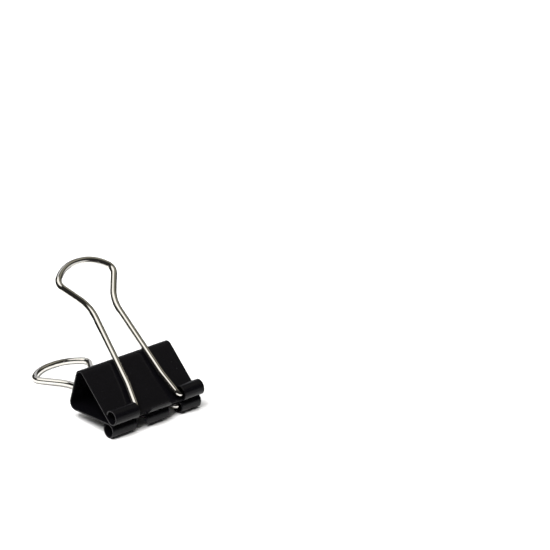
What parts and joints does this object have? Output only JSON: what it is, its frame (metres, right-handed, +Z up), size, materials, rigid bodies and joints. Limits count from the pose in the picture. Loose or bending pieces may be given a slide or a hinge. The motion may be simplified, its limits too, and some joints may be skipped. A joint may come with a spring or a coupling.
{
  "type": "binder clip",
  "caption": "Small binder clip: a black spring-steel clamp with rolled lips that grips loose paper, and nickel wire handles that fold back as levers or forward onto the paper.",
  "frame": {"origin": "middle of the bounding box, on the surface that the clip stands on", "axes": "+X along the lips, +Y from the mouth to the spine, +Z up"},
  "size_m": [0.019, 0.0316, 0.0231],
  "materials": {
    "black_steel": "glossy black enamel over spring steel",
    "nickel_wire": "bright nickel plate over drawn steel wire"
  },
  "bodies": {
    "lower_jaw": {"lower_jaw": "black_steel"},
    "spine": {"spine": "black_steel"},
    "upper_jaw": {"upper_jaw": "black_steel"},
    "upper_handle": {"upper_handle": "nickel_wire"},
    "lower_handle": {"lower_handle": "nickel_wire"}
  },
  "joints": [
    {"name": "lower_bend", "type": "hinge", "parent": "lower_jaw", "child": "spine", "pos_m": [0, -0.00319, 0.0023], "axis": [-1, 0, 0], "range_deg": [0, 27], "stiffness_Nm_per_rad": 0.27},
    {"name": "upper_bend", "type": "hinge", "parent": "spine", "child": "upper_jaw", "pos_m": [0, -0.00578, 0.00973], "axis": [-1, 0, 0], "range_deg": [0, 27], "stiffness_Nm_per_rad": 0.27},
    {"name": "upper_handle_pivot", "type": "hinge", "parent": "upper_jaw", "child": "upper_handle", "pos_m": [0, -0.01444, 0.00402], "axis": [1, 0, 0], "range_deg": [0, 158]},
    {"name": "lower_handle_pivot", "type": "hinge", "parent": "lower_jaw", "child": "lower_handle", "pos_m": [0, -0.01352, 0.00137], "axis": [-1, 0, 0], "range_deg": [0, 158]}
  ],
  "couplings": [
    {"joint": "upper_bend", "follows": "lower_bend", "ratio": 1}
  ]
}
